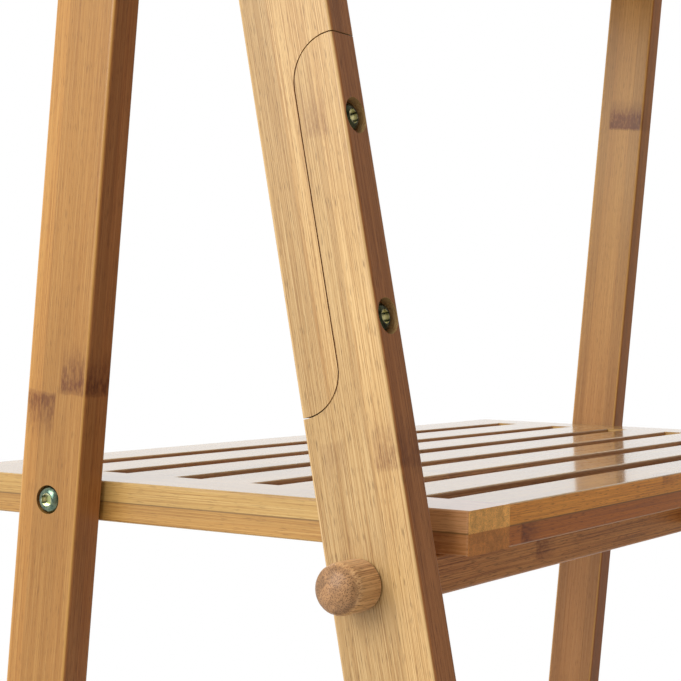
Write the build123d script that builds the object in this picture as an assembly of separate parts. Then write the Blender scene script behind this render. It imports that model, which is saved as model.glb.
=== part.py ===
from build123d import *
import os
from math import atan2, cos, degrees, radians, sin, sqrt, tan

# Folding bamboo ladder shelf: two hinged A-frames that carry three slatted shelves.
# Millimetres. +Z is up, -Y is the front and X runs along the shelves. The origin is
# the middle of the floor area under the whole object.

# Driving dimensions: the two frames
FRAME_WIDTH = 680.0        # over the outer faces of the rear legs
LEG_THICKNESS = 19.0
FRONT_LEG_WIDTH = 45.2
REAR_LEG_WIDTH = 37.3
FRONT_LEAN = 11.7          # degrees from upright
REAR_LEAN = 4.46
PIVOT_HEIGHT = 1179.0      # the hinge where the two frames cross
LEG_ROUNDING = 2.0
FRAME_GAP = 2.0            # a nylon washer fills it
FOOT_PAD_HEIGHT = 2.0
FOOT_PAD_RADIUS = 8.5

# Driving dimensions: shelves
MIDDLE_SHELF_HEIGHT = 505.0
TIER_SPACING = 385.0
SLATS_PER_SHELF = {"lower": 9, "middle": 7, "upper": 5}
SLAT_WIDTH = 32.5
SLOT_WIDTH = 15.0
BATTEN_WIDTH = 40.0
BOARD_THICKNESS = 20.0
BOARD_ROUNDING = 1.2
SHELF_NOSE = 29.1          # how far a shelf stands in front of the front legs' centre line
SIDE_GAP = 2.0             # between a shelf's end and the rear leg
REST_GAP = 0.2             # between a shelf and the rail it rests on
HINGE_DROP = 9.0           # from a shelf's top down to the bolts it turns about
TENON_LENGTH = 10.0
TENON_THICKNESS = 8.0
TENON_SHOULDER = 4.0

# Driving dimensions: front rails, knobs and the top bar
RAIL_HEIGHT = 19.0
RAIL_DEPTH = 26.0
RAIL_ROUNDING = 2.0
RAIL_SETBACK = 6.4         # how far rails and knobs sit behind the front legs' centre line
RAIL_DOWEL_RADIUS = 3.0
RAIL_DOWEL_LENGTH = 24.0
RAIL_DOWEL_OFFSET = 9.0
KNOB_RADIUS = 11.2
KNOB_LENGTH = 24.0
KNOB_SHOULDER = 7.0
KNOB_CROWN = 14.0
KNOB_ROUNDING = 1.5
KNOB_SOCKET_DEPTH = 11.0
STUD_IN_RAIL = 14.0
STUD_SPARE = 1.0           # space left past a stud's end in its knob
TOP_BAR_RADIUS = 15.0

# Driving dimensions: the lap joint in each front leg, measured up the leg's centre
# line from the middle shelf's top
LAP_LOW_END = 44.0
LAP_HIGH_END = 205.0
LAP_ROUNDING = 20.0
LAP_SEAM = 0.6
LAP_BOLTS_UP = (81.3, 169.0)
LAP_COUNTERBORE_DEPTH = 4.6
LAP_COUNTERBORE_RADIUS = 8.0
LAP_BOLT_LENGTH = 26.0

# Driving dimensions: metal parts
BOLT_RADIUS = 3.0
HEAD_RADIUS = 6.8
HEAD_HEIGHT = 3.3
HEAD_RIM = 0.25            # height of the head's straight rim, as a share of its height
HEAD_SHOULDER = (0.82, 0.72)  # a point on the dome, as shares of radius and height
HEAD_FLAT = 0.56           # radius of the flat round the socket, as a share of the radius
SHELF_COUNTERBORE_RADIUS = 7.1
SHELF_COUNTERBORE_DEPTH = 2.4
INSERT_RADIUS = 4.5
INSERT_LENGTH = 13.0
HOLE_SPARE = 2.0           # how much deeper a hole is than what goes into it
SHELF_BOLT_IN_BATTEN = 12.0
KEY_RADIUS = 3.4
KEY_DEPTH = 2.2
PIVOT_BOLT_RADIUS = 4.0
PIVOT_HEAD_RADIUS = 7.0
PIVOT_HEAD_HEIGHT = 4.4
PIVOT_COUNTERBORE_RADIUS = 9.0
PIVOT_COUNTERBORE_DEPTH = 5.0
PIVOT_BUSH_RADIUS = 5.5
PIVOT_INSERT_RADIUS = 6.0
PIVOT_INSERT_LENGTH = 20.0
PIVOT_BOLT_IN_BAR = 18.0
WASHER_RADIUS = 10.0
SHELF_WASHER_RADIUS = 8.0
RUNNING_CLEARANCE = 0.05
FIT_CLEARANCE = 0.02

# Driving dimensions: the block that keeps the legs from spreading
STOP_LENGTH = 30.0
STOP_HEIGHT = 14.0
STOP_SETBACK = 1.0
STOP_GAP = 0.4
STOP_ROUNDING = 1.0

# Derived values
SHELF_TOPS = {
    "lower": MIDDLE_SHELF_HEIGHT - TIER_SPACING,
    "middle": MIDDLE_SHELF_HEIGHT,
    "upper": MIDDLE_SHELF_HEIGHT + TIER_SPACING,
}
SLAT_PITCH = SLAT_WIDTH + SLOT_WIDTH
REAR_OUTER = FRAME_WIDTH / 2
REAR_INNER = REAR_OUTER - LEG_THICKNESS
FRONT_INNER = REAR_OUTER + FRAME_GAP
FRONT_OUTER = FRONT_INNER + LEG_THICKNESS
BOARD_END = REAR_INNER - SIDE_GAP
SIDES = {"left": -1, "right": 1}
MIDDLE_SHELF_ALONG = (PIVOT_HEIGHT - MIDDLE_SHELF_HEIGHT) / cos(radians(FRONT_LEAN))


def board_depth(tier):
    return SLATS_PER_SHELF[tier] * SLAT_PITCH - SLOT_WIDTH


def front_offset(height):
    """How far the front legs' centre line is in front of the pivot."""
    return (PIVOT_HEIGHT - height) * tan(radians(FRONT_LEAN))


def rear_offset(height):
    """How far the rear legs' centre line is behind the pivot."""
    return (PIVOT_HEIGHT - height) * tan(radians(REAR_LEAN))


FRONT_REACH = front_offset(0) + FRONT_LEG_WIDTH / 2 / cos(radians(FRONT_LEAN))
REAR_REACH = board_depth("lower") - front_offset(SHELF_TOPS["lower"]) - SHELF_NOSE
PIVOT_Y = (FRONT_REACH - REAR_REACH) / 2


def front_y(height):
    return PIVOT_Y - front_offset(height)


def rear_y(height):
    return PIVOT_Y + rear_offset(height)


def rail_height(tier):
    """Height of a front rail's centre."""
    return SHELF_TOPS[tier] - BOARD_THICKNESS - REST_GAP - RAIL_HEIGHT / 2


def rail_y(tier):
    """Where a front rail's centre and its knobs' axis are from front to back."""
    return front_y(rail_height(tier)) + RAIL_SETBACK


def shelf_front(tier):
    return front_y(SHELF_TOPS[tier]) - SHELF_NOSE


def hinge_point(tier):
    """(y, z) of the bolt that a shelf turns about."""
    height = SHELF_TOPS[tier] - HINGE_DROP
    return rear_y(height), height


# Shapes
def span_box(low, high):
    size = [b - a for a, b in zip(low, high)]
    return Pos(*low) * Box(*size, align=(Align.MIN, Align.MIN, Align.MIN))


def rod(radius, start, end, y, z):
    """A round rod along X from start to end."""
    plane = Plane(origin=(min(start, end), y, z), z_dir=(1, 0, 0))
    return extrude(plane * Circle(radius), amount=abs(end - start))


def leg_plane(x, lean):
    """X runs across the leg towards the rear, Y runs up the leg, origin on the pivot."""
    across = (0, cos(radians(lean)), -sin(radians(lean)))
    return Plane(origin=(x, PIVOT_Y, PIVOT_HEIGHT), x_dir=across, z_dir=(1, 0, 0))


def leg_blank(x, lean, width):
    """A whole leg with a round top end, its long edges rounded, cut level at the foot."""
    plane = leg_plane(x, lean)
    length = PIVOT_HEIGHT / cos(radians(lean)) + width
    outline = Pos(0, -length / 2) * Rectangle(width, length) + Circle(width / 2)
    blank = extrude(plane * outline, amount=LEG_THICKNESS)
    faces = blank.faces().filter_by(Axis.X)
    blank = fillet(faces.edges(), LEG_ROUNDING)
    reach = PIVOT_HEIGHT
    above_floor = span_box((x - reach, -reach, FOOT_PAD_HEIGHT), (x + reach, reach, 2 * reach))
    return blank & above_floor


def lap_region(x, piece):
    """The side of the lap joint's S-shaped seam that one piece of a front leg fills."""
    grow = LAP_SEAM if piece == "upper" else 0.0
    high = LAP_HIGH_END - MIDDLE_SHELF_ALONG
    low = LAP_LOW_END - MIDDLE_SHELF_ALONG
    edge = FRONT_LEG_WIDTH
    half = LAP_ROUNDING
    diagonal = sin(radians(45))
    high_centre = (-half, high - half)
    low_centre = (half, low + half)
    high_radius = half + grow
    low_radius = half - grow
    seam = [
        Line((-edge, high + grow), (-half, high + grow)),
        ThreePointArc(
            (-half, high + grow),
            (high_centre[0] + high_radius * diagonal, high_centre[1] + high_radius * diagonal),
            (grow, high - half),
        ),
        Line((grow, high - half), (grow, low + half)),
        ThreePointArc(
            (grow, low + half),
            (low_centre[0] - low_radius * diagonal, low_centre[1] - low_radius * diagonal),
            (half, low + grow),
        ),
        Line((half, low + grow), (edge, low + grow)),
    ]
    far = 2 * edge if piece == "upper" else -PIVOT_HEIGHT * 2
    seam.append(Polyline((edge, low + grow), (edge, far), (-edge, far), (-edge, high + grow)))
    return extrude(leg_plane(x, FRONT_LEAN) * make_face(Curve() + seam), amount=LEG_THICKNESS)


def button_head(radius, height):
    """A domed head standing on the XY plane, with a hexagon socket in its top."""
    dome = revolve(
        Plane.XZ
        * make_face(
            Polyline((0, height), (0, 0), (radius, 0), (radius, height * HEAD_RIM))
            + ThreePointArc(
                (radius, height * HEAD_RIM),
                (radius * HEAD_SHOULDER[0], height * HEAD_SHOULDER[1]),
                (radius * HEAD_FLAT, height),
            )
            + Line((radius * HEAD_FLAT, height), (0, height))
        ),
        Axis.Z,
    )
    scale = radius / HEAD_RADIUS
    socket = extrude(RegularPolygon(KEY_RADIUS * scale, 6), amount=KEY_DEPTH * scale)
    return dome - Pos(0, 0, height - KEY_DEPTH * scale) * socket


def bolt(head_radius, head_height, shank_radius, shank_length):
    """A bolt whose head stands on the XY plane and whose shank points down."""
    shank = Pos(0, 0, -shank_length / 2) * Cylinder(shank_radius, shank_length)
    return button_head(head_radius, head_height) + shank


def facing(x, y, z, direction):
    """Places something drawn along +Z so that it points along direction."""
    return Plane(origin=(x, y, z), z_dir=direction).location


def lap_bolt_seat(side, up):
    """The point and outward direction on a front leg's front face of one lap bolt."""
    lean = radians(FRONT_LEAN)
    along = up - MIDDLE_SHELF_ALONG
    across = -FRONT_LEG_WIDTH / 2
    x = SIDES[side] * (FRONT_INNER + LEG_THICKNESS / 2)
    y = PIVOT_Y + across * cos(lean) + along * sin(lean)
    z = PIVOT_HEIGHT - across * sin(lean) + along * cos(lean)
    return (x, y, z), (0, -cos(lean), sin(lean))


# Front frame
def front_leg(side, piece):
    sign = SIDES[side]
    low_x = min(sign * FRONT_INNER, sign * FRONT_OUTER)
    leg = leg_blank(low_x, FRONT_LEAN, FRONT_LEG_WIDTH) & lap_region(low_x, piece)
    inner, outer = sign * FRONT_INNER, sign * FRONT_OUTER
    if piece == "upper":
        leg -= rod(PIVOT_BUSH_RADIUS, inner, outer, PIVOT_Y, PIVOT_HEIGHT)
        seat = outer - sign * PIVOT_COUNTERBORE_DEPTH
        leg -= rod(PIVOT_COUNTERBORE_RADIUS, seat, outer, PIVOT_Y, PIVOT_HEIGHT)
        tiers = ("upper",)
    else:
        tiers = ("lower", "middle")
    for tier in tiers:
        z = rail_height(tier)
        leg -= rod(BOLT_RADIUS + FIT_CLEARANCE, inner, outer, rail_y(tier), z)
        dowel_end = inner + sign * RAIL_DOWEL_LENGTH / 2
        leg -= rod(RAIL_DOWEL_RADIUS, inner, dowel_end, rail_y(tier) + RAIL_DOWEL_OFFSET, z)
    for up in LAP_BOLTS_UP:
        point, outward = lap_bolt_seat(side, up)
        place = facing(*point, outward)
        if piece == "lower":
            leg -= place * Pos(0, 0, -LAP_COUNTERBORE_DEPTH / 2) * Cylinder(
                LAP_COUNTERBORE_RADIUS, LAP_COUNTERBORE_DEPTH
            )
            leg -= place * Pos(0, 0, -FRONT_LEG_WIDTH / 4) * Cylinder(
                BOLT_RADIUS + FIT_CLEARANCE, FRONT_LEG_WIDTH / 2 + HOLE_SPARE
            )
        else:
            hole = INSERT_LENGTH + HOLE_SPARE
            middle = FRONT_LEG_WIDTH / 2 + LAP_SEAM + hole / 2
            leg -= place * Pos(0, 0, -middle) * Cylinder(INSERT_RADIUS, hole)
    return leg


def front_rail(tier):
    z = rail_height(tier)
    y = rail_y(tier)
    rail = span_box(
        (-FRONT_INNER, y - RAIL_DEPTH / 2, z - RAIL_HEIGHT / 2),
        (FRONT_INNER, y + RAIL_DEPTH / 2, z + RAIL_HEIGHT / 2),
    )
    rail = fillet(rail.edges().filter_by(Axis.X), RAIL_ROUNDING)
    for sign in SIDES.values():
        end = sign * FRONT_INNER
        rail -= rod(INSERT_RADIUS, end, end - sign * (INSERT_LENGTH + HOLE_SPARE), y, z)
        dowel_end = end - sign * RAIL_DOWEL_LENGTH / 2
        rail -= rod(RAIL_DOWEL_RADIUS, end, dowel_end, y + RAIL_DOWEL_OFFSET, z)
    return rail


def rail_dowels():
    return [
        rod(
            RAIL_DOWEL_RADIUS,
            sign * (FRONT_INNER - RAIL_DOWEL_LENGTH / 2),
            sign * (FRONT_INNER + RAIL_DOWEL_LENGTH / 2),
            rail_y(tier) + RAIL_DOWEL_OFFSET,
            rail_height(tier),
        )
        for tier in SHELF_TOPS
        for sign in SIDES.values()
    ]


def sleeve(outer_radius, inner_radius, start, end, y, z):
    return rod(outer_radius, start, end, y, z) - rod(inner_radius, start, end, y, z)


def rail_inserts():
    return [
        sleeve(
            INSERT_RADIUS,
            BOLT_RADIUS + FIT_CLEARANCE,
            sign * FRONT_INNER,
            sign * (FRONT_INNER - INSERT_LENGTH),
            rail_y(tier),
            rail_height(tier),
        )
        for tier in SHELF_TOPS
        for sign in SIDES.values()
    ]


def hook_knob(tier, side):
    """A turned peg with a domed end: a spherical crown that a shoulder arc meets."""
    hole = BOLT_RADIUS + FIT_CLEARANCE
    corner = KNOB_RADIUS - KNOB_ROUNDING
    shoulder_x = KNOB_RADIUS - KNOB_SHOULDER
    centre_gap = KNOB_CROWN - KNOB_SHOULDER
    drop = sqrt(centre_gap**2 - shoulder_x**2)
    crown_z = KNOB_LENGTH - KNOB_CROWN
    shoulder_z = crown_z + drop
    turn = degrees(atan2(drop, shoulder_x))
    profile = [
        Line((hole, 0), (corner, 0)),
        CenterArc((corner, KNOB_ROUNDING), KNOB_ROUNDING, -90, 90),
        Line((KNOB_RADIUS, KNOB_ROUNDING), (KNOB_RADIUS, shoulder_z)),
        CenterArc((shoulder_x, shoulder_z), KNOB_SHOULDER, 0, turn),
        CenterArc((0, crown_z), KNOB_CROWN, turn, 90 - turn),
        Polyline((0, KNOB_LENGTH), (0, KNOB_SOCKET_DEPTH), (hole, KNOB_SOCKET_DEPTH), (hole, 0)),
    ]
    knob = revolve(Plane.XZ * make_face(Curve() + profile), Axis.Z)
    z = rail_height(tier)
    sign = SIDES[side]
    return facing(sign * FRONT_OUTER, rail_y(tier), z, (sign, 0, 0)) * knob


def knob_studs():
    return [
        rod(
            BOLT_RADIUS,
            sign * (FRONT_OUTER + KNOB_SOCKET_DEPTH - STUD_SPARE),
            sign * (FRONT_INNER - STUD_IN_RAIL),
            rail_y(tier),
            rail_height(tier),
        )
        for tier in SHELF_TOPS
        for sign in SIDES.values()
    ]


def lap_bolts():
    screw = bolt(HEAD_RADIUS, HEAD_HEIGHT, BOLT_RADIUS, LAP_BOLT_LENGTH)
    bolts = []
    for side in SIDES:
        for up in LAP_BOLTS_UP:
            point, outward = lap_bolt_seat(side, up)
            bolts.append(facing(*point, outward) * Pos(0, 0, -LAP_COUNTERBORE_DEPTH) * screw)
    return bolts


def lap_inserts():
    start = FRONT_LEG_WIDTH / 2 + LAP_SEAM
    nut = Cylinder(INSERT_RADIUS, INSERT_LENGTH) - Cylinder(
        BOLT_RADIUS + FIT_CLEARANCE, INSERT_LENGTH
    )
    inserts = []
    for side in SIDES:
        for up in LAP_BOLTS_UP:
            point, outward = lap_bolt_seat(side, up)
            inserts.append(
                facing(*point, outward) * Pos(0, 0, -start - INSERT_LENGTH / 2) * nut
            )
    return inserts


def pivot_bushes():
    return [
        sleeve(
            PIVOT_BUSH_RADIUS,
            PIVOT_BOLT_RADIUS + RUNNING_CLEARANCE,
            sign * FRONT_INNER,
            sign * (FRONT_OUTER - PIVOT_COUNTERBORE_DEPTH),
            PIVOT_Y,
            PIVOT_HEIGHT,
        )
        for sign in SIDES.values()
    ]


def foot_pads(x, foot_y):
    return [
        Pos(sign * x, foot_y, FOOT_PAD_HEIGHT / 2) * Cylinder(FOOT_PAD_RADIUS, FOOT_PAD_HEIGHT)
        for sign in SIDES.values()
    ]


# Rear frame
def rear_leg(side):
    sign = SIDES[side]
    inner, outer = sign * REAR_INNER, sign * REAR_OUTER
    leg = leg_blank(min(inner, outer), -REAR_LEAN, REAR_LEG_WIDTH)
    leg -= rod(PIVOT_BOLT_RADIUS + FIT_CLEARANCE, inner, outer, PIVOT_Y, PIVOT_HEIGHT)
    seat = outer - sign * SHELF_COUNTERBORE_DEPTH
    for tier in SHELF_TOPS:
        y, z = hinge_point(tier)
        leg -= rod(BOLT_RADIUS + RUNNING_CLEARANCE, inner, outer, y, z)
        leg -= rod(SHELF_COUNTERBORE_RADIUS, seat, outer, y, z)
    return leg


def top_bar():
    bar = rod(TOP_BAR_RADIUS, -REAR_INNER, REAR_INNER, PIVOT_Y, PIVOT_HEIGHT)
    for sign in SIDES.values():
        end = sign * REAR_INNER
        depth = PIVOT_INSERT_LENGTH + HOLE_SPARE
        bar -= rod(PIVOT_INSERT_RADIUS, end, end - sign * depth, PIVOT_Y, PIVOT_HEIGHT)
    return bar


def pivot_bolts():
    length = FRONT_OUTER - PIVOT_COUNTERBORE_DEPTH - REAR_INNER + PIVOT_BOLT_IN_BAR
    screw = bolt(PIVOT_HEAD_RADIUS, PIVOT_HEAD_HEIGHT, PIVOT_BOLT_RADIUS, length)
    seat = FRONT_OUTER - PIVOT_COUNTERBORE_DEPTH + FIT_CLEARANCE
    return [
        facing(sign * seat, PIVOT_Y, PIVOT_HEIGHT, (sign, 0, 0)) * screw
        for sign in SIDES.values()
    ]


def pivot_inserts():
    return [
        sleeve(
            PIVOT_INSERT_RADIUS,
            PIVOT_BOLT_RADIUS + FIT_CLEARANCE,
            sign * REAR_INNER,
            sign * (REAR_INNER - PIVOT_INSERT_LENGTH),
            PIVOT_Y,
            PIVOT_HEIGHT,
        )
        for sign in SIDES.values()
    ]


def spacer_washers():
    """Nylon washers between the frames and between each shelf and the rear legs."""
    washers = []
    for sign in SIDES.values():
        washers.append(
            sleeve(
                WASHER_RADIUS,
                PIVOT_BOLT_RADIUS + RUNNING_CLEARANCE,
                sign * REAR_OUTER,
                sign * (FRONT_INNER - FIT_CLEARANCE),
                PIVOT_Y,
                PIVOT_HEIGHT,
            )
        )
        for tier in SHELF_TOPS:
            washers.append(
                sleeve(
                    SHELF_WASHER_RADIUS,
                    BOLT_RADIUS + RUNNING_CLEARANCE,
                    sign * REAR_INNER,
                    sign * (BOARD_END + FIT_CLEARANCE),
                    *hinge_point(tier),
                )
            )
    return washers


# Shelves
def slat_front(tier, number):
    return shelf_front(tier) + (number - 1) * SLAT_PITCH


def tenon(tier, number, side):
    sign = SIDES[side]
    shoulder = sign * (BOARD_END - BATTEN_WIDTH)
    tip = shoulder + sign * TENON_LENGTH
    front = slat_front(tier, number)
    middle = SHELF_TOPS[tier] - BOARD_THICKNESS / 2
    return span_box(
        (min(shoulder, tip), front + TENON_SHOULDER, middle - TENON_THICKNESS / 2),
        (max(shoulder, tip), front + SLAT_WIDTH - TENON_SHOULDER, middle + TENON_THICKNESS / 2),
    )


def shelf_slat(tier, number):
    shoulder = BOARD_END - BATTEN_WIDTH
    top = SHELF_TOPS[tier]
    front = slat_front(tier, number)
    slat = span_box(
        (-shoulder, front, top - BOARD_THICKNESS),
        (shoulder, front + SLAT_WIDTH, top),
    )
    slat = fillet(slat.edges().filter_by(Axis.X), BOARD_ROUNDING)
    for side in SIDES:
        slat += tenon(tier, number, side)
    return slat


def end_batten(tier, side):
    sign = SIDES[side]
    inner, outer = sign * (BOARD_END - BATTEN_WIDTH), sign * BOARD_END
    top = SHELF_TOPS[tier]
    front = shelf_front(tier)
    batten = span_box(
        (min(inner, outer), front, top - BOARD_THICKNESS),
        (max(inner, outer), front + board_depth(tier), top),
    )
    outer_face = batten.faces().sort_by(Axis.X)[-1 if sign > 0 else 0]
    batten = fillet(outer_face.edges(), BOARD_ROUNDING)
    for number in range(1, SLATS_PER_SHELF[tier] + 1):
        batten -= tenon(tier, number, side)
    y, z = hinge_point(tier)
    batten -= rod(INSERT_RADIUS, outer, outer - sign * (INSERT_LENGTH + HOLE_SPARE), y, z)
    return batten


def shelf_bolts(tier):
    length = LEG_THICKNESS - SHELF_COUNTERBORE_DEPTH + SIDE_GAP + SHELF_BOLT_IN_BATTEN
    screw = bolt(HEAD_RADIUS, HEAD_HEIGHT, BOLT_RADIUS, length)
    seat = REAR_OUTER - SHELF_COUNTERBORE_DEPTH + FIT_CLEARANCE
    y, z = hinge_point(tier)
    return [facing(sign * seat, y, z, (sign, 0, 0)) * screw for sign in SIDES.values()]


def shelf_inserts(tier):
    return [
        sleeve(
            INSERT_RADIUS,
            BOLT_RADIUS + FIT_CLEARANCE,
            sign * BOARD_END,
            sign * (BOARD_END - INSERT_LENGTH),
            *hinge_point(tier),
        )
        for sign in SIDES.values()
    ]


def stop_block():
    """Glued under the middle shelf's front slat, in front of the rail."""
    underside = SHELF_TOPS["middle"] - BOARD_THICKNESS
    rail_front = rail_y("middle") - RAIL_DEPTH / 2
    block = span_box(
        (-STOP_LENGTH / 2, shelf_front("middle") + STOP_SETBACK, underside - STOP_HEIGHT),
        (STOP_LENGTH / 2, rail_front - STOP_GAP, underside),
    )
    return fillet(block.edges().filter_by(Axis.Z), STOP_ROUNDING)


def save(name, shapes):
    solids = shapes if isinstance(shapes, list) else [shapes]
    found = [solid for shape in solids for solid in shape.solids()]
    part = found[0] if len(found) == 1 else Compound(children=found)
    part.label = name
    export_step(part, f"parts/{name}.step")


def main():
    os.makedirs("parts", exist_ok=True)
    for side in SIDES:
        for piece in ("upper", "lower"):
            save(f"front_leg_{piece}_{side}", front_leg(side, piece))
        save(f"rear_leg_{side}", rear_leg(side))
    for tier in SHELF_TOPS:
        save(f"front_rail_{tier}", front_rail(tier))
        knobs = [hook_knob(tier, side) for side in SIDES]
        save(f"hook_knobs_{tier}", knobs)
    save("rail_dowels", rail_dowels())
    save("rail_inserts", rail_inserts())
    save("knob_studs", knob_studs())
    save("lap_bolts", lap_bolts())
    save("lap_inserts", lap_inserts())
    save("pivot_bushes", pivot_bushes())
    front_foot_x = FRONT_INNER + LEG_THICKNESS / 2
    rear_foot_x = REAR_INNER + LEG_THICKNESS / 2
    save("front_foot_pads", foot_pads(front_foot_x, front_y(FOOT_PAD_HEIGHT)))
    save("rear_foot_pads", foot_pads(rear_foot_x, rear_y(FOOT_PAD_HEIGHT)))
    save("top_bar", top_bar())
    save("pivot_bolts", pivot_bolts())
    save("pivot_inserts", pivot_inserts())
    save("spacer_washers", spacer_washers())
    for tier, count in SLATS_PER_SHELF.items():
        for side in SIDES:
            save(f"{tier}_shelf_batten_{side}", end_batten(tier, side))
        for number in range(1, count + 1):
            save(f"{tier}_shelf_slat_{number}", shelf_slat(tier, number))
        save(f"{tier}_shelf_bolts", shelf_bolts(tier))
        save(f"{tier}_shelf_inserts", shelf_inserts(tier))
    save("middle_shelf_stop_block", stop_block())


main()
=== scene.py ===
import math
from collections import namedtuple

import bpy
from mathutils import Matrix, Vector

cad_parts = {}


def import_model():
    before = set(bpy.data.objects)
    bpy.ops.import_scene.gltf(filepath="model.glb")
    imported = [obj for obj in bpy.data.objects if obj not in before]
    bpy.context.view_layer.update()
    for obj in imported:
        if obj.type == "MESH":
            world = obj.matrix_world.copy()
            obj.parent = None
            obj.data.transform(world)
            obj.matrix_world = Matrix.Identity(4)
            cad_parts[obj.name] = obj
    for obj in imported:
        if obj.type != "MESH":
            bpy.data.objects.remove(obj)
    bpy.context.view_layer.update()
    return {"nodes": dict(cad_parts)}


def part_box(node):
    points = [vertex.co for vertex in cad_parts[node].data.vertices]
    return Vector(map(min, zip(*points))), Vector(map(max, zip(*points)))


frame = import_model()
nodes = frame["nodes"]

# Directions: each pair of legs leans by its own angle
FRONT_LEAN = math.radians(11.7)
REAR_LEAN = math.radians(4.46)
X_AXIS = Vector((1, 0, 0))
Y_AXIS = Vector((0, 1, 0))
Z_AXIS = Vector((0, 0, 1))
FRONT_UP = Vector((0, math.sin(FRONT_LEAN), math.cos(FRONT_LEAN)))
FRONT_ACROSS = Vector((0, math.cos(FRONT_LEAN), -math.sin(FRONT_LEAN)))
REAR_UP = Vector((0, -math.sin(REAR_LEAN), math.cos(REAR_LEAN)))
REAR_ACROSS = Vector((0, math.cos(REAR_LEAN), math.sin(REAR_LEAN)))
TIERS = ("lower", "middle", "upper")
SIDES = ("left", "right")


def middle_of(node):
    low_corner, high_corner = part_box(node)
    return (low_corner + high_corner) / 2


# Places, in metres
HINGE = middle_of("pivot_bushes")
LEG_MIDDLE = -middle_of("front_leg_lower_left").x
REAR_X = middle_of("rear_leg_left").x
SHELF_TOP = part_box("middle_shelf_slat_1")[1].z
SHELF_ALONG = HINGE.dot(FRONT_UP) - (HINGE.z - SHELF_TOP) / math.cos(FRONT_LEAN)

# Lap bolts, as distances up the front legs from the middle shelf's top
LAP_BOLTS_UP = (0.0813, 0.169)
LAP_MIDDLE = SHELF_ALONG + sum(LAP_BOLTS_UP) / 2
LAP_HALF = (LAP_BOLTS_UP[1] - LAP_BOLTS_UP[0]) / 2

# Bolt heads: distances from the bolt's axis, inside which the key socket and its floor are painted
KEY_EDGE = 0.0031
KEY_EDGE_BLUR = 0.0002
KEY_FLOOR = 0.0021
KEY_FLOOR_BLUR = 0.0004

# Metal colours, linear: plating and its darker patches. The bolts' yellow-green zinc is darkened to
# paint in the dark reflections on their domes, most of all for the lap bolts down in their bores
ZINC_AND_PAINTED_REFLECTION = ((0.20, 0.25, 0.17), (0.08, 0.13, 0.10))
LAP_ZINC_AND_PAINTED_REFLECTION = ((0.08, 0.10, 0.06), (0.025, 0.032, 0.022))
INSERT_ZINC = ((0.56, 0.57, 0.55), (0.42, 0.43, 0.42))
# Key sockets: a painted highlight on the walls; on the floor painted shade for the shelf and pivot
# bolts, a painted highlight for the lap bolts
KEY_PAINTED_HIGHLIGHT = (0.95, 0.92, 0.66)
KEY_FLOOR_PAINTED_SHADE = (0.42, 0.46, 0.20)
LAP_KEY_FLOOR_PAINTED_HIGHLIGHT = (0.80, 0.82, 0.55)
BOLT_ROUGHNESS = 0.22
INSERT_ROUGHNESS = 0.36
SMOOTHER = 0.06
ROUGHER = 0.10

# Plating: how its tone spreads, and its fine scratches
PLATING_SCALE = 420.0
PLATING_DETAIL = 4.0
PLATING_SPAN = (0.35, 0.65)
SCRATCH_SCALE = 2600.0
SCRATCH_BUMP = 0.12
SCRATCH_DEPTH = 0.0001

# Nylon and felt colours, linear: dark, pale
NYLON = ((0.62, 0.60, 0.54), (0.74, 0.72, 0.66))
NYLON_ROUGHNESS = (0.35, 0.5)
FELT = ((0.045, 0.036, 0.030), (0.16, 0.13, 0.105))

# Wood colours, linear: base, dark fibres, pale fibres
HONEY = ((0.480, 0.300, 0.120), (0.330, 0.175, 0.058), (0.590, 0.400, 0.185))
BOARD = ((0.475, 0.288, 0.086), (0.330, 0.170, 0.044), (0.575, 0.380, 0.138))
AMBER = ((0.385, 0.186, 0.044), (0.265, 0.108, 0.022), (0.470, 0.255, 0.075))
FAR_AMBER = ((0.470, 0.245, 0.066), (0.340, 0.155, 0.036), (0.560, 0.325, 0.105))
RAIL = ((0.530, 0.222, 0.066), (0.270, 0.094, 0.026), (0.620, 0.310, 0.110))
KNOB = ((0.600, 0.350, 0.160), (0.260, 0.120, 0.048), (0.680, 0.430, 0.215))
DOWEL = ((0.560, 0.380, 0.200), (0.400, 0.250, 0.120), (0.640, 0.460, 0.270))

# End grain colours, linear: upper ply, lower ply. The battens' are painted lighter than their wood, as
# painted light on their front ends, where little light falls
BATTEN_ENDS_PAINTED_LIGHT = ((0.930, 0.485, 0.131), (0.575, 0.223, 0.049))
KNOB_ENDS = ((0.335, 0.178, 0.077), (0.335, 0.178, 0.077))

# Tints that multiply a wood colour
NODE_TINT = (0.40, 0.26, 0.22)
FRONT_LEG_EDGE = (0.74, 0.47, 0.38)
REAR_LEG_EDGE = (1.00, 0.86, 1.05)
# Front face of the front slat: lighter and redder, painted light, since little light reaches that face
FRONT_SLAT_PAINTED_LIGHT = (1.66, 1.12, 0.53)
BACK_SLAT_EDGE = (1.00, 0.84, 0.70)
SLOT_WALL = (0.93, 0.82, 1.26)
SLAT_LOWER_PLY = (0.60, 0.45, 0.47)
BATTEN_LOWER_PLY = (0.86, 0.75, 0.60)
# Takes most of the painted light back off the battens' rear ends
BATTEN_BACK_LESS_PAINTED_LIGHT = (0.56, 0.60, 0.85)
# Painted shadow: the browner colour of the front leg's shadow, on the battens near their front ends
BATTEN_FRONT_PAINTED_SHADOW = (1.12, 0.93, 1.27)
# Painted shade: the far rear leg darker towards its foot, below the shelf
FAR_LEG_PAINTED_SHADE = (0.78, 0.69, 0.80)

# Where most of a noise's values lie
NOISE_SPAN = (0.3, 0.7)

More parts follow.
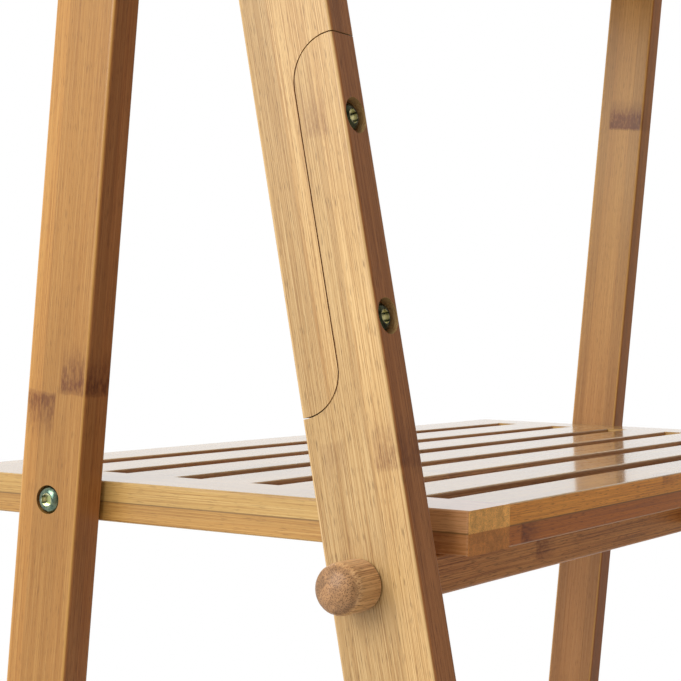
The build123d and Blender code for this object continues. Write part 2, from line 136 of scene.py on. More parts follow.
# Bamboo noises, with changes per metre along the fibres and across them
Streaks = namedtuple("Streaks", "along across detail roughness")
BROAD = Streaks(2.2, 95.0, 2.0, 0.5)
FINE = Streaks(9.0, 620.0, 4.0, 0.6)
CRISP = Streaks(11.0, 2100.0, 3.0, 0.65)
DASH = Streaks(140.0, 2100.0, 2.0, 0.5)
CLOUD = Streaks(5.0, 22.0, 2.0, 0.5)
RAGGED = Streaks(4.0, 330.0, 3.0, 0.6)
MOTTLED = Streaks(230.0, 640.0, 3.0, 0.6)

# Fibre layers: noise, where it starts to show and is full, strength, tone, follows contrast
FIBRE_LAYERS = (
    (FINE, 0.50, 0.74, 0.50, "pale", False),
    (FINE, 0.47, 0.30, 0.45, "dark", True),
    (CRISP, 0.51, 0.64, 0.65, "pale", True),
    (CRISP, 0.49, 0.37, 0.75, "dark", True),
)
BASE_FROM_BROAD = (0.34, 0.60, 0.62, 1.0)
DASH_SHOWS = (0.55, 0.70)
DEEP_SHARE = 0.45

# Strips glued side by side
STRIP_WIDTH = 0.0175
STRIP_OFFSET = 0.31
LAYER_HEIGHT = 0.010
LAYER_STEP = 7.0
SEED_SHIFT = 0.37
STRIP_SEED = 0.5
STRIP_SHADE = (0.90, 1.10)
CLOUD_SHADE = (-0.05, 0.05)
GLUE_LINE = (0.480, 0.497, 0.0, 0.32)

# Bamboo nodes, in metres along the fibres
NODE_SPACING = 0.34
NODE_PLACE = 0.05
NODE_SEED = 3.5
NODE_STRENGTH = (0.35, 1.0, 0.0, 0.62)
LINE_WANDER = 0.0035
FADE_WANDER = 0.018
PATCH_START = (-0.0018, 0.0012)
PATCH_FADE = (0.003, 0.026, 1.0, 0.0)
LINE_EDGE = (0.0016, 0.0003)
LINE_STRENGTH = 0.45
MOTTLE = (0.34, 0.64, 0.46, 1.0)
MARK_BLUR = 0.0008
QUIET_BLUR = 0.002

# Faces, told apart by how far their normal turns towards a direction
# Rounded arris: the faces that take a painted highlight, and how bright it is
ARRIS_IN = (0.10, 0.35)
ARRIS_OUT = (0.85, 0.65)
ARRIS_HIGHLIGHT_GAIN = 1.25
ARRIS_HIGHLIGHT_LIMIT = 0.80
EDGE_FACE = (0.72, 0.92)
EITHER_SIDE = (-0.1, 0.1)
UPRIGHT_FACE = (0.75, 0.45)
TOP_FACE = (0.60, 0.95)
BOARD_END_FACE = (0.70, 0.88)
KNOB_END_FACE = (0.30, 0.62)

# Plies of a shelf board, in metres
PLY_DEPTH = 0.0102
PLY_BLUR = 0.0003
PLY_LINE = (0.00055, 0.00015)
PLY_LINE_STRENGTH = 0.8

# End grain
END_DARKEST = 0.22
END_PALEST = 0.16
END_MOTTLE = (-0.14, 0.14)
END_MOTTLE_SCALE = 260.0
BUNDLE_SHOWS = (0.55, 0.28)

# Lacquer
SIDE_COAT = 0.10
WOOD_ROUGHNESS = (0.34, 0.46)
END_ROUGHER = 0.15
WOOD_BUMP = 0.25
GRAIN_DEPTH = 0.0002
NODE_DEPTH = 0.0003
COAT_IOR = 1.5
BOARD_LACQUER = {"coat": 0.90, "coat_rough": 0.11, "gloss": 0.45}


class Graph:
    """Short names for making shader nodes."""

    def __init__(self, name):
        self.material = bpy.data.materials.new(name)
        self.material.use_nodes = True
        self.tree = self.material.node_tree
        self.tree.nodes.clear()
        self.output = self.tree.nodes.new("ShaderNodeOutputMaterial")
        self.shader = self.tree.nodes.new("ShaderNodeBsdfPrincipled")
        self.tree.links.new(self.shader.outputs[0], self.output.inputs["Surface"])
        coords = self.tree.nodes.new("ShaderNodeTexCoord")
        self.place = coords.outputs["Object"]
        self.normal = coords.outputs["Normal"]

    def feed(self, socket, value):
        if isinstance(value, bpy.types.NodeSocket):
            self.tree.links.new(value, socket)
        elif isinstance(value, (tuple, list, Vector)):
            plain = list(value)
            if socket.type == "RGBA" and len(plain) == 3:
                plain.append(1.0)
            socket.default_value = plain
        else:
            socket.default_value = value

    def surface(self, **values):
        """Sets the surface's inputs, with spaces in their names as underscores."""
        for name, value in values.items():
            self.feed(self.shader.inputs[name.replace("_", " ")], value)

    def math(self, operation, *values):
        node = self.tree.nodes.new("ShaderNodeMath")
        node.operation = operation
        for socket, value in zip(node.inputs, values):
            self.feed(socket, value)
        return node.outputs[0]

    def add(self, first, second):
        return self.math("ADD", first, second)

    def subtract(self, first, second):
        return self.math("SUBTRACT", first, second)

    def times(self, first, second):
        return self.math("MULTIPLY", first, second)

    def gap(self, value, middle):
        """How far a value is from a middle, either way."""
        return self.math("ABSOLUTE", self.subtract(value, middle))

    def length(self, first, second):
        """The long side of a right-angled triangle."""
        return self.math("SQRT", self.add(self.times(first, first), self.times(second, second)))

    def dot(self, vector, direction):
        node = self.tree.nodes.new("ShaderNodeVectorMath")
        node.operation = "DOT_PRODUCT"
        self.feed(node.inputs[0], vector)
        self.feed(node.inputs[1], direction)
        return node.outputs["Value"]

    def vector(self, x, y, z):
        node = self.tree.nodes.new("ShaderNodeCombineXYZ")
        for socket, value in zip(node.inputs, (x, y, z)):
            self.feed(socket, value)
        return node.outputs[0]

    def noise(self, vector, scale=1.0, detail=3.0, roughness=0.5):
        node = self.tree.nodes.new("ShaderNodeTexNoise")
        self.feed(node.inputs["Vector"], vector)
        node.inputs["Scale"].default_value = scale
        node.inputs["Detail"].default_value = detail
        node.inputs["Roughness"].default_value = roughness
        return node.outputs["Fac"]

    def white(self, x, y):
        node = self.tree.nodes.new("ShaderNodeTexWhiteNoise")
        node.noise_dimensions = "2D"
        self.feed(node.inputs["Vector"], self.vector(x, y, 0.0))
        return node.outputs["Value"]

    def spots(self, vector, scale):
        node = self.tree.nodes.new("ShaderNodeTexVoronoi")
        self.feed(node.inputs["Vector"], vector)
        node.inputs["Scale"].default_value = scale
        return node.outputs["Distance"]

    def ramp(self, value, low, high, to_low=0.0, to_high=1.0, smooth=True):
        node = self.tree.nodes.new("ShaderNodeMapRange")
        node.interpolation_type = "SMOOTHSTEP" if smooth else "LINEAR"
        for socket, number in zip(node.inputs, (value, low, high, to_low, to_high)):
            self.feed(socket, number)
        return node.outputs["Result"]

    def mix(self, factor, first, second, blend="MIX"):
        node = self.tree.nodes.new("ShaderNodeMix")
        node.data_type = "RGBA"
        node.blend_type = blend
        self.feed(node.inputs["Factor"], factor)
        self.feed(node.inputs[6], first)
        self.feed(node.inputs[7], second)
        return node.outputs[2]

    def tinted(self, colour, tint, amount):
        """A colour, with the given amount of it multiplied by a tint."""
        return self.mix(amount, colour, self.mix(1.0, colour, tint, "MULTIPLY"))

    def shaded(self, colour, shade):
        """A colour multiplied by a grey."""
        return self.mix(1.0, colour, self.vector(shade, shade, shade), "MULTIPLY")

    def bump(self, height, strength, distance, normal=None):
        node = self.tree.nodes.new("ShaderNodeBump")
        self.feed(node.inputs["Height"], height)
        node.inputs["Strength"].default_value = strength
        node.inputs["Distance"].default_value = distance
        if normal is not None:
            self.feed(node.inputs["Normal"], normal)
        return node.outputs[0]


# A bamboo node at a known place: its distance along the piece, its middle and half width
# across and through it, which way its brown patch fades, and its strength
Mark = namedtuple("Mark", "along across across_half thick thick_half way strength")
WHOLE = 1.0

# A stretch with painted shade, given as a tint: where the tint is full, where it is gone, and the tint
PaintedShadeStretch = namedtuple("PaintedShadeStretch", "full_at gone_at tint")


class Bamboo(Graph):
    """One piece of laminated bamboo, whose fibres run along one direction."""

    def __init__(self, name, along, across, thick, tones, seed, strip, contrast):
        super().__init__(name)
        self.along = along
        self.across = across
        self.base, self.dark, self.pale = tones
        self.deep = [c * DEEP_SHARE for c in self.dark]
        self.seed = seed
        self.contrast = contrast
        self.along_place = self.dot(self.place, along)
        self.seeded_place = self.add(self.along_place, seed * SEED_SHIFT)
        self.across_place = self.dot(self.place, across)
        self.thick_place = self.dot(self.place, thick)
        self.lane_place = self.math("DIVIDE", self.add(self.across_place, strip * STRIP_OFFSET), strip)
        self.lane = self.math("FLOOR", self.lane_place)
        layer = self.math("FLOOR", self.math("DIVIDE", self.thick_place, LAYER_HEIGHT))
        self.key = self.add(self.lane, self.times(layer, LAYER_STEP))
        self.strip_tone = self.white(self.key, seed + STRIP_SEED)
        self.made = {}

    def streaks(self, kind):
        if kind not in self.made:
            place = self.vector(self.times(self.seeded_place, kind.along),
                                self.times(self.across_place, kind.across),
                                self.times(self.thick_place, kind.across))
            self.made[kind] = self.noise(place, 1.0, kind.detail, kind.roughness)
        return self.made[kind]

    def fibres(self, dashes):
        """Broad streaks, fine streaks, crisp lines and short dark dashes, strip by strip."""
        colour = self.mix(self.ramp(self.streaks(BROAD), *BASE_FROM_BROAD), self.dark, self.base)
        tones = {"pale": self.pale, "dark": self.dark}
        for kind, starts, full, strength, tone, follows_contrast in FIBRE_LAYERS:
            if follows_contrast:
                strength *= self.contrast
            shows = self.ramp(self.streaks(kind), starts, full, 0.0, strength)
            colour = self.mix(shows, colour, tones[tone])
        colour = self.mix(self.ramp(self.streaks(DASH), *DASH_SHOWS, 0.0, dashes), colour, self.deep)
        shade = self.add(self.ramp(self.strip_tone, 0.0, 1.0, *STRIP_SHADE, smooth=False),
                         self.ramp(self.streaks(CLOUD), *NOISE_SPAN, *CLOUD_SHADE))
        return self.shaded(colour, shade)

    def node_shape(self, past):
        """A dark ragged line with a brown patch that fades out along the fibres."""
        ragged = self.subtract(self.streaks(RAGGED), 0.5)
        start = self.add(past, self.times(ragged, LINE_WANDER))
        reach = self.add(past, self.times(ragged, FADE_WANDER))
        patch = self.times(self.ramp(start, *PATCH_START), self.ramp(reach, *PATCH_FADE))
        patch = self.times(patch, self.ramp(self.streaks(MOTTLED), *MOTTLE))
        line = self.ramp(self.math("ABSOLUTE", start), *LINE_EDGE)
        return self.math("MAXIMUM", patch, self.times(line, LINE_STRENGTH))

    def scattered_nodes(self, quiet):
        """One node in each stretch of each strip, and none inside the quiet stretch."""
        offset = self.times(self.white(self.key, self.seed + NODE_SEED), NODE_SPACING)
        run = self.add(self.seeded_place, offset)
        cell = self.math("FLOOR", self.math("DIVIDE", run, NODE_SPACING))
        past = self.subtract(run, self.times(cell, NODE_SPACING))
        chance = self.white(cell, self.add(self.key, self.seed))
        mark = self.times(self.node_shape(self.subtract(past, NODE_PLACE)),
                          self.ramp(chance, *NODE_STRENGTH))
        if quiet is None:
            return mark
        half_quiet = (quiet[1] - quiet[0]) / 2
        from_quiet = self.gap(self.along_place, (quiet[0] + quiet[1]) / 2)
        return self.times(mark, self.ramp(from_quiet, half_quiet, half_quiet + QUIET_BLUR))

    def within(self, value, middle, half):
        return self.ramp(self.gap(value, middle), half + MARK_BLUR, half - MARK_BLUR)

    def placed_node(self, mark):
        inside = self.times(self.within(self.across_place, mark.across, mark.across_half),
                            self.within(self.thick_place, mark.thick, mark.thick_half))
        past = self.times(self.subtract(self.along_place, mark.along), mark.way)
        return self.times(self.node_shape(past), self.times(inside, mark.strength))

    def painted_shade_stretch(self, colour, stretch):
        shows = self.ramp(self.along_place, stretch.full_at, stretch.gone_at, 1.0, 0.0)
        return self.tinted(colour, stretch.tint, shows)

    def glue_lines(self, colour):
        to_line = self.gap(self.lane_place, self.add(self.lane, 0.5))
        return self.mix(self.ramp(to_line, *GLUE_LINE), colour, self.dark)

    def edge_faces(self, colour, near_tint, far_tint, painted_arris_highlight):
        """Faces that show the strips' edges have their own tint, with a painted highlight on the
        rounded corner, where it would catch the light.

        The far tint is for the edge that faces along the across direction.
        """
        signed = self.dot(self.normal, self.across)
        sideways = self.math("ABSOLUTE", signed)
        arris = self.times(self.ramp(sideways, *ARRIS_IN),
                           self.ramp(sideways, *ARRIS_OUT, 0.0, painted_arris_highlight))
        # Painted highlight along the rounded arris
        colour = self.mix(arris, colour, [min(c * ARRIS_HIGHLIGHT_GAIN, ARRIS_HIGHLIGHT_LIMIT) for c in self.pale])
        # On the front slat's front face this tint is painted light
        tint = near_tint
        if far_tint is not None:
            tint = self.mix(self.ramp(signed, *EITHER_SIDE), near_tint, far_tint)
        return self.tinted(colour, tint, self.ramp(sideways, *EDGE_FACE))

    def plies(self, colour, top, lower_tint):
        """Two plies with a dark line between, seen on the upright faces."""
        facing = self.math("ABSOLUTE", self.dot(self.normal, Z_AXIS))
        upright = self.ramp(facing, *UPRIGHT_FACE)
        height = self.dot(self.place, Z_AXIS)
        middle = top - PLY_DEPTH
        below = self.ramp(height, middle + PLY_BLUR, middle - PLY_BLUR)
        colour = self.tinted(colour, lower_tint, self.times(upright, below))
        near_line = self.times(upright, self.ramp(self.gap(height, middle), *PLY_LINE))
        colour = self.mix(self.times(near_line, PLY_LINE_STRENGTH), colour, self.deep)
        return colour, below

    def end_grain(self, ground, far_tint, bundle, pitch):
        """Dark fibre bundles on a ground that changes from strip to strip."""
        section = self.vector(self.across_place, self.thick_place, 0.0)
        strip_shade = self.ramp(self.strip_tone, 0.0, 1.0, 1.0 - END_DARKEST * self.contrast,
                                1.0 + END_PALEST * self.contrast, smooth=False)
        mottle = self.ramp(self.noise(section, scale=END_MOTTLE_SCALE), *NOISE_SPAN, *END_MOTTLE)
        ground = self.shaded(ground, self.add(strip_shade, mottle))
        # On the battens this takes most of the painted light back off the rear ends
        if far_tint is not None:
            far = self.ramp(self.dot(self.normal, self.along), *EITHER_SIDE)
            ground = self.tinted(ground, far_tint, far)
        bundles = self.ramp(self.spots(section, pitch), *BUNDLE_SHOWS, 0.0, bundle)
        return self.mix(bundles, ground, self.deep)

    def lacquer(self, colour, mark, ending, coat, coat_rough, gloss):
        crisp = self.streaks(CRISP)
        rough = self.add(self.ramp(crisp, *NOISE_SPAN, *WOOD_ROUGHNESS),
                         self.times(ending, END_ROUGHER))
        grain_bump = self.bump(crisp, strength=WOOD_BUMP, distance=GRAIN_DEPTH)
        self.surface(Base_Color=colour, Roughness=rough, Specular_IOR_Level=gloss,
                     Coat_Weight=coat, Coat_Roughness=coat_rough, Coat_IOR=COAT_IOR,
                     Normal=self.bump(mark, strength=WOOD_BUMP, distance=NODE_DEPTH,
                                      normal=grain_bump))


def bamboo(name, along, across, thick, tones, seed, strip=STRIP_WIDTH, contrast=1.0, dashes=0.42,
           marks=(), quiet=None, stretch=None, edge_tint=None, far_edge_tint=None,
           painted_arris_highlight=0.45, ply_top=None, ply_tint=None, end_tones=None, far_end_tint=None,
           end_face=BOARD_END_FACE, bundle=0.35, pitch=1650.0, coat=0.12, coat_rough=0.18,
           gloss=0.32):
    """Lacquered laminated bamboo. With a ply_top it is a shelf board of two plies."""
    wood = Bamboo(name, along, across, thick, tones, seed, strip, contrast)
    colour = wood.fibres(dashes)
    mark = wood.scattered_nodes(quiet)
    for known in marks:
        mark = wood.math("MAXIMUM", mark, wood.placed_node(known))
    colour = wood.tinted(colour, NODE_TINT, mark)
    # Painted shade over a stretch of the piece
    if stretch is not None:
        colour = wood.painted_shade_stretch(colour, stretch)
    colour = wood.glue_lines(colour)
    if edge_tint is not None:
        colour = wood.edge_faces(colour, edge_tint, far_edge_tint, painted_arris_highlight)
    ground, lower_ground = end_tones or (wood.base, wood.base)
    if ply_top is not None:
        colour, below = wood.plies(colour, ply_top, ply_tint)
        ground = wood.mix(below, ground, lower_ground)
        coat = wood.ramp(wood.dot(wood.normal, Z_AXIS), *TOP_FACE, SIDE_COAT, coat)
    ending = wood.ramp(wood.math("ABSOLUTE", wood.dot(wood.normal, along)), *end_face)
    colour = wood.mix(ending, colour, wood.end_grain(ground, far_end_tint, bundle, pitch))
    wood.lacquer(colour, mark, ending, coat, coat_rough, gloss)
    return wood.material


def from_line(middle):
    """Distance from the line along X through a point."""
    def distance(graph):
        return graph.length(graph.subtract(graph.dot(graph.place, Y_AXIS), middle.y),
                            graph.subtract(graph.dot(graph.place, Z_AXIS), middle.z))
    return distance


def from_lap_bolts(graph):
    """Distance from the nearest lap bolt's axis."""
    from_middle = graph.math("ABSOLUTE", graph.dot(graph.place, X_AXIS))
    aside = graph.subtract(from_middle, LEG_MIDDLE)
    up = graph.subtract(graph.gap(graph.dot(graph.place, FRONT_UP), LAP_MIDDLE), LAP_HALF)
    return graph.length(aside, up)


def metal(name, tones, roughness, distance=None, painted_key_floor=KEY_FLOOR_PAINTED_SHADE):
    """Plated steel whose finish shifts a little in colour.

    With a distance from the bolt's axis, its key socket gets a painted highlight, brighter than the
    dome round it, and the socket's floor its own painted colour: painted shade by default, a painted
    highlight on the lap bolts.
    """
    graph = Graph(name)
    colour, shadow = tones
    patch = graph.noise(graph.place, scale=PLATING_SCALE, detail=PLATING_DETAIL)
    scratch = graph.noise(graph.place, scale=SCRATCH_SCALE)
    tone = graph.mix(graph.ramp(patch, *PLATING_SPAN), shadow, colour)
    if distance is not None:
        from_axis = distance(graph)
        # Painted highlight in the key socket, and the socket's painted floor
        socket = graph.ramp(from_axis, KEY_EDGE + KEY_EDGE_BLUR, KEY_EDGE - KEY_EDGE_BLUR)
        tone = graph.mix(socket, tone, KEY_PAINTED_HIGHLIGHT)
        painted_floor = graph.ramp(from_axis, KEY_FLOOR + KEY_FLOOR_BLUR, KEY_FLOOR)
        tone = graph.mix(painted_floor, tone, painted_key_floor)
    graph.surface(Base_Color=tone, Metallic=1.0,
                  Normal=graph.bump(scratch, strength=SCRATCH_BUMP, distance=SCRATCH_DEPTH),
                  Roughness=graph.ramp(patch, *NOISE_SPAN, roughness - SMOOTHER,
                                       roughness + ROUGHER))
    return graph.material


def nylon():
    graph = Graph("nylon")
    mottle = graph.noise(graph.place, scale=700.0)
    graph.surface(Base_Color=graph.mix(mottle, *NYLON),
                  Roughness=graph.ramp(mottle, *NOISE_SPAN, *NYLON_ROUGHNESS),
                  Subsurface_Weight=0.2, Subsurface_Scale=0.002)
    return graph.material


def felt():
    graph = Graph("felt")
    tuft = graph.noise(graph.place, scale=1500.0, detail=5.0, roughness=0.7)
    graph.surface(Base_Color=graph.mix(tuft, *FELT),
                  Roughness=0.95, Sheen_Weight=0.4,
                  Normal=graph.bump(tuft, strength=0.7, distance=0.0006))
    return graph.material


def dress(node, material):
    for slot in nodes[node].material_slots:
        slot.material = material


# Seeds, a different one for each wood material, with room for 12 slats in each shelf
FRONT_LEG_SEED = 3.0
REAR_LEG_SEED = 11
RAIL_SEED = 17
TOP_BAR_SEED = 21.0
KNOB_SEED = 23
SLAT_SEED = 31.0
SLAT_SEEDS = 12
BATTEN_SEED = 70.0
STOP_BLOCK_SEED = 80.0
DOWEL_SEED = 81.0

# Legs: bamboo nodes at known places, and the stretches round them that have no others
LEG_HALF = 0.011
FRONT_MARKS = {
    "lower_left": (Mark(0.640, -0.1960, 0.0060, -LEG_MIDDLE, LEG_HALF, 1, 0.40),
                   Mark(0.494, -0.2060, 0.0070, -LEG_MIDDLE, LEG_HALF, 1, 0.55),
                   Mark(0.508, -0.1790, 0.0060, -LEG_MIDDLE, LEG_HALF, -1, 0.30)),
}
REAR_MARKS = {
    "left": (Mark(0.540, 0.1320, 0.0082, REAR_X, LEG_HALF, 1, 1.00),
             Mark(0.538, 0.1520, 0.0090, REAR_X, LEG_HALF, -1, 0.90)),
    "right": (Mark(0.736, 0.1387, 0.0139, -REAR_X, LEG_HALF, 1, 1.35),),
}
FRONT_QUIET = (0.36, 0.80)
REAR_QUIET = (0.36, 0.84)
REAR_TONES = {"left": AMBER, "right": FAR_AMBER}
# Painted shade on the far rear leg, darker towards its foot
REAR_PAINTED_SHADE = {"right": PaintedShadeStretch(0.40, 0.72, FAR_LEG_PAINTED_SHADE)}


def dress_legs():
    seed = FRONT_LEG_SEED
    for side in SIDES:
        for piece in ("upper", "lower"):
            dress(f"front_leg_{piece}_{side}",
                  bamboo(f"bamboo_front_{piece}_{side}", FRONT_UP, FRONT_ACROSS, X_AXIS, HONEY,
                         seed, edge_tint=FRONT_LEG_EDGE, quiet=FRONT_QUIET, contrast=1.3,
                         dashes=0.60, marks=FRONT_MARKS.get(f"{piece}_{side}", ())))
            seed += 1.0
    for seed, side in enumerate(SIDES, REAR_LEG_SEED):
        dress(f"rear_leg_{side}",
              bamboo(f"bamboo_rear_{side}", REAR_UP, REAR_ACROSS, X_AXIS, REAR_TONES[side], seed,
                     edge_tint=REAR_LEG_EDGE, marks=REAR_MARKS[side], quiet=REAR_QUIET,
                     contrast=0.75, stretch=REAR_PAINTED_SHADE.get(side)))


# Rails, top bar, and knobs whose grain is tilted
RAIL_MARKS = {"middle": (Mark(-0.215, 0.0, WHOLE, 0.477, 0.006, 1, 0.9),)}
KNOB_STRIP = 0.0085
GRAIN_TILT = math.radians(38)
KNOB_ACROSS = Vector((0, math.cos(GRAIN_TILT), math.sin(GRAIN_TILT)))
KNOB_THICK = Vector((0, -math.sin(GRAIN_TILT), math.cos(GRAIN_TILT)))


def dress_rails():
    for seed, tier in enumerate(TIERS, RAIL_SEED):
        dress(f"front_rail_{tier}",
              bamboo(f"bamboo_rail_{tier}", X_AXIS, Y_AXIS, Z_AXIS, RAIL, seed,
                     marks=RAIL_MARKS.get(tier, ()), contrast=1.3, dashes=0.6))
    dress("top_bar",
          bamboo("bamboo_top_bar", X_AXIS, Y_AXIS, Z_AXIS, RAIL, TOP_BAR_SEED))
    for seed, tier in enumerate(TIERS, KNOB_SEED):
        dress(f"hook_knobs_{tier}",
              bamboo(f"bamboo_knob_{tier}", X_AXIS, KNOB_ACROSS, KNOB_THICK, KNOB, seed,
                     strip=KNOB_STRIP, end_tones=KNOB_ENDS, contrast=1.3, dashes=0.75,
                     bundle=0.80, pitch=1750.0, end_face=KNOB_END_FACE))


# Shelves: bamboo nodes near the middle shelf's left front corner, and how far behind
# the battens' front ends their painted tint of the front leg's shadow is full and gone
BATTEN_MARKS = {"middle_left": (Mark(-0.092, 0.0, WHOLE, 0.490, 0.005, -1, 0.8),)}
SLAT_MARKS = {"middle_1": (Mark(-0.266, 0.0, WHOLE, 0.490, 0.005, 1, 1.0),)}
BATTEN_FRONT_FULL = 0.035
BATTEN_FRONT_GONE = 0.080


def dress_slats(tier, number, top):
    count = sum(node.startswith(f"{tier}_shelf_slat_") for node in nodes)
    for slat in range(1, count + 1):
        dress(f"{tier}_shelf_slat_{slat}",
              bamboo(f"bamboo_{tier}_slat_{slat}", X_AXIS, Y_AXIS, Z_AXIS, BOARD,
                     SLAT_SEED + number * SLAT_SEEDS + slat,
                     marks=SLAT_MARKS.get(f"{tier}_{slat}", ()), ply_top=top,
                     ply_tint=SLAT_LOWER_PLY,
                     edge_tint=FRONT_SLAT_PAINTED_LIGHT if slat == 1 else SLOT_WALL,
                     far_edge_tint=BACK_SLAT_EDGE if slat == count else SLOT_WALL,
                     dashes=0.65, contrast=1.2, painted_arris_highlight=0.0, **BOARD_LACQUER))


def dress_shelves():
    batten_seed = BATTEN_SEED
    for number, tier in enumerate(TIERS):
        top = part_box(f"{tier}_shelf_slat_1")[1].z
        dress_slats(tier, number, top)
        for side in SIDES:
            front_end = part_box(f"{tier}_shelf_batten_{side}")[0].y
            # Painted colour of the front leg's shadow near the batten's front end
            stretch = PaintedShadeStretch(front_end + BATTEN_FRONT_FULL, front_end + BATTEN_FRONT_GONE,
                              BATTEN_FRONT_PAINTED_SHADOW)
            dress(f"{tier}_shelf_batten_{side}",
                  bamboo(f"bamboo_{tier}_batten_{side}", Y_AXIS, X_AXIS, Z_AXIS, BOARD,
                         batten_seed, ply_top=top, ply_tint=BATTEN_LOWER_PLY,
                         end_tones=BATTEN_ENDS_PAINTED_LIGHT, far_end_tint=BATTEN_BACK_LESS_PAINTED_LIGHT, stretch=stretch,
                         marks=BATTEN_MARKS.get(f"{tier}_{side}", ()), **BOARD_LACQUER))
            batten_seed += 1.0
    dress("middle_shelf_stop_block",
          bamboo("bamboo_stop_block", X_AXIS, Y_AXIS, Z_AXIS, RAIL, STOP_BLOCK_SEED))


def dress_hardware():
    dress("rail_dowels", bamboo("dowel_wood", X_AXIS, Y_AXIS, Z_AXIS, DOWEL, DOWEL_SEED))
    for tier in TIERS:
        bolts = f"{tier}_shelf_bolts"
        dress(bolts, metal(f"zinc_{tier}_bolts", ZINC_AND_PAINTED_REFLECTION, BOLT_ROUGHNESS,
                           from_line(middle_of(bolts))))
    dress("pivot_bolts", metal("zinc_pivot_bolts", ZINC_AND_PAINTED_REFLECTION, BOLT_ROUGHNESS, from_line(HINGE)))
    dress("lap_bolts", metal("zinc_lap_bolts", LAP_ZINC_AND_PAINTED_REFLECTION, BOLT_ROUGHNESS, from_lap_bolts,
                             LAP_KEY_FLOOR_PAINTED_HIGHLIGHT))
    dress("knob_studs", metal("zinc_studs", ZINC_AND_PAINTED_REFLECTION, BOLT_ROUGHNESS))
    insert_zinc = metal("zinc_insert", INSERT_ZINC, INSERT_ROUGHNESS)
    for owner in ("lap", "rail", "pivot", *(f"{tier}_shelf" for tier in TIERS)):
        dress(f"{owner}_inserts", insert_zinc)
    white_nylon = nylon()
    for node in ("pivot_bushes", "spacer_washers"):
        dress(node, white_nylon)
    pad_felt = felt()
    for node in ("front_foot_pads", "rear_foot_pads"):
        dress(node, pad_felt)


dress_legs()
dress_rails()
dress_shelves()
dress_hardware()

# Studio, in metres, linear colours and watts
FLOOR_REACH = 2.2
FLOOR_FADE = (0.5, 1.25)
FLOOR_COLOUR = (0.86, 0.86, 0.85)
FLOOR_ROUGHNESS = 0.8
ROOM_BRIGHT_WAY = (-0.15, 0.95, 0.28)
ROOM_FADE = (-0.55, 0.25, 0.0, 1.0)
ROOM_DIM = (0.36, 0.30, 0.235, 1)
ROOM_WHITE = (1, 1, 1, 1)
KEY_PLACE = Vector((-2.6, 0.55, 1.7))
KEY_TARGET = Vector((0, 0, 0.5))
KEY_SIDE = 1.8
KEY_POWER = 64


def floor():
    """A pale sheet that fades out round the object."""
    mesh = bpy.data.meshes.new("floor")
    corners = [(x * FLOOR_REACH, y * FLOOR_REACH, 0) for x, y in ((-1, -1), (1, -1), (1, 1), (-1, 1))]
    mesh.from_pydata(corners, [], [(0, 1, 2, 3)])
    sheet = bpy.data.objects.new("floor", mesh)
    bpy.context.scene.collection.objects.link(sheet)
    graph = Graph("floor_paint")
    graph.surface(Base_Color=FLOOR_COLOUR, Roughness=FLOOR_ROUGHNESS)
    reach = graph.tree.nodes.new("ShaderNodeVectorMath")
    reach.operation = "LENGTH"
    graph.feed(reach.inputs[0], graph.place)
    clear = graph.tree.nodes.new("ShaderNodeBsdfTransparent")
    blend = graph.tree.nodes.new("ShaderNodeMixShader")
    graph.feed(blend.inputs[0], graph.ramp(reach.outputs["Value"], *FLOOR_FADE))
    graph.tree.links.new(graph.shader.outputs[0], blend.inputs[1])
    graph.tree.links.new(clear.outputs[0], blend.inputs[2])
    graph.tree.links.new(blend.outputs[0], graph.output.inputs["Surface"])
    mesh.materials.append(graph.material)


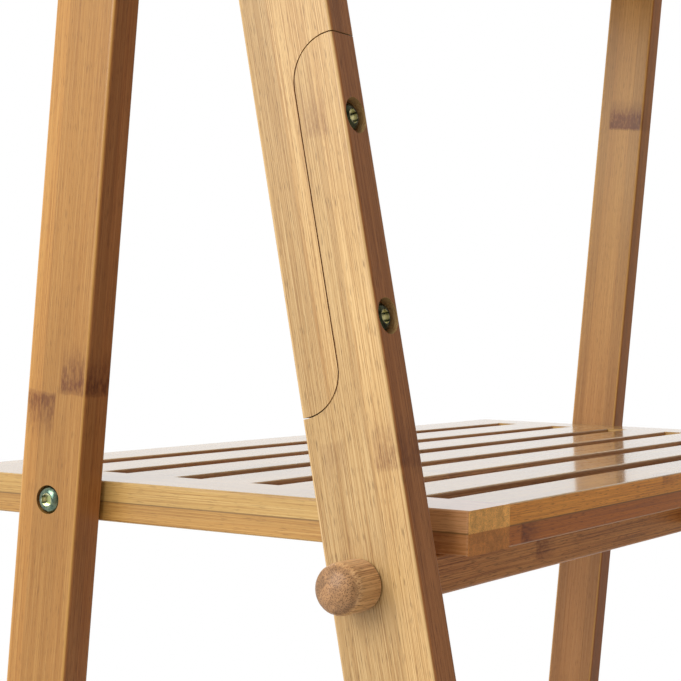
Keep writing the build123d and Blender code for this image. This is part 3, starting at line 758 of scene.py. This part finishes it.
def world():
    """A white room, bright behind the object and dimmer on its front side."""
    room = bpy.data.worlds.new("studio")
    bpy.context.scene.world = room
    room.use_nodes = True
    tree = room.node_tree
    tree.nodes.clear()
    output = tree.nodes.new("ShaderNodeOutputWorld")
    coords = tree.nodes.new("ShaderNodeTexCoord")
    towards = tree.nodes.new("ShaderNodeVectorMath")
    towards.operation = "DOT_PRODUCT"
    towards.inputs[1].default_value = ROOM_BRIGHT_WAY
    tree.links.new(coords.outputs["Generated"], towards.inputs[0])
    fade = tree.nodes.new("ShaderNodeMapRange")
    fade.interpolation_type = "SMOOTHSTEP"
    for socket, number in zip(list(fade.inputs)[1:5], ROOM_FADE):
        socket.default_value = number
    tree.links.new(towards.outputs["Value"], fade.inputs[0])
    tint = tree.nodes.new("ShaderNodeMix")
    tint.data_type = "RGBA"
    tree.links.new(fade.outputs["Result"], tint.inputs[0])
    tint.inputs[6].default_value = ROOM_DIM
    tint.inputs[7].default_value = ROOM_WHITE
    lit = tree.nodes.new("ShaderNodeBackground")
    tree.links.new(tint.outputs[2], lit.inputs["Color"])
    shown = tree.nodes.new("ShaderNodeBackground")
    shown.inputs["Color"].default_value = ROOM_WHITE
    path = tree.nodes.new("ShaderNodeLightPath")
    blend = tree.nodes.new("ShaderNodeMixShader")
    tree.links.new(path.outputs["Is Camera Ray"], blend.inputs[0])
    tree.links.new(lit.outputs[0], blend.inputs[1])
    tree.links.new(shown.outputs[0], blend.inputs[2])
    tree.links.new(blend.outputs[0], output.inputs["Surface"])


def key_light():
    data = bpy.data.lights.new("key", "AREA")
    data.shape = "RECTANGLE"
    data.size = KEY_SIDE
    data.size_y = KEY_SIDE
    data.energy = KEY_POWER
    lamp = bpy.data.objects.new("key", data)
    lamp.location = KEY_PLACE
    lamp.rotation_mode = "QUATERNION"
    lamp.rotation_quaternion = (KEY_TARGET - KEY_PLACE).to_track_quat("-Z", "Y")
    bpy.context.scene.collection.objects.link(lamp)


# Camera at the viewing angle, placed from the middle shelf's left front top corner
CAMERA_FROM_CORNER = Vector((-0.669, -0.34786, 0.0825))
CAMERA_YAW = math.radians(31.82)
CAMERA_PITCH = math.radians(-0.72)
CAMERA_ROLL = math.radians(1.04)
SENSOR_WIDTH = 36.0
LENS = 91.7
CLIP_START = 0.05


def camera():
    low_corner, high_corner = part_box("middle_shelf_batten_left")
    place = Vector((low_corner.x, low_corner.y, high_corner.z)) + CAMERA_FROM_CORNER
    ahead = Vector((math.cos(CAMERA_YAW) * math.cos(CAMERA_PITCH),
                    math.sin(CAMERA_YAW) * math.cos(CAMERA_PITCH), math.sin(CAMERA_PITCH)))
    level = Vector((math.sin(CAMERA_YAW), -math.cos(CAMERA_YAW), 0))
    upward = level.cross(ahead)
    right = level * math.cos(CAMERA_ROLL) + upward * math.sin(CAMERA_ROLL)
    raised = upward * math.cos(CAMERA_ROLL) - level * math.sin(CAMERA_ROLL)
    viewer = bpy.data.objects.new("camera", bpy.data.cameras.new("camera"))
    viewer.data.sensor_width = SENSOR_WIDTH
    viewer.data.lens = LENS
    viewer.data.clip_start = CLIP_START
    viewer.matrix_world = Matrix((
        (right.x, raised.x, -ahead.x, place.x),
        (right.y, raised.y, -ahead.y, place.y),
        (right.z, raised.z, -ahead.z, place.z),
        (0, 0, 0, 1),
    ))
    bpy.context.scene.collection.objects.link(viewer)
    bpy.context.scene.camera = viewer
    bpy.context.scene.view_settings.view_transform = "Standard"


floor()
world()
key_light()
camera()
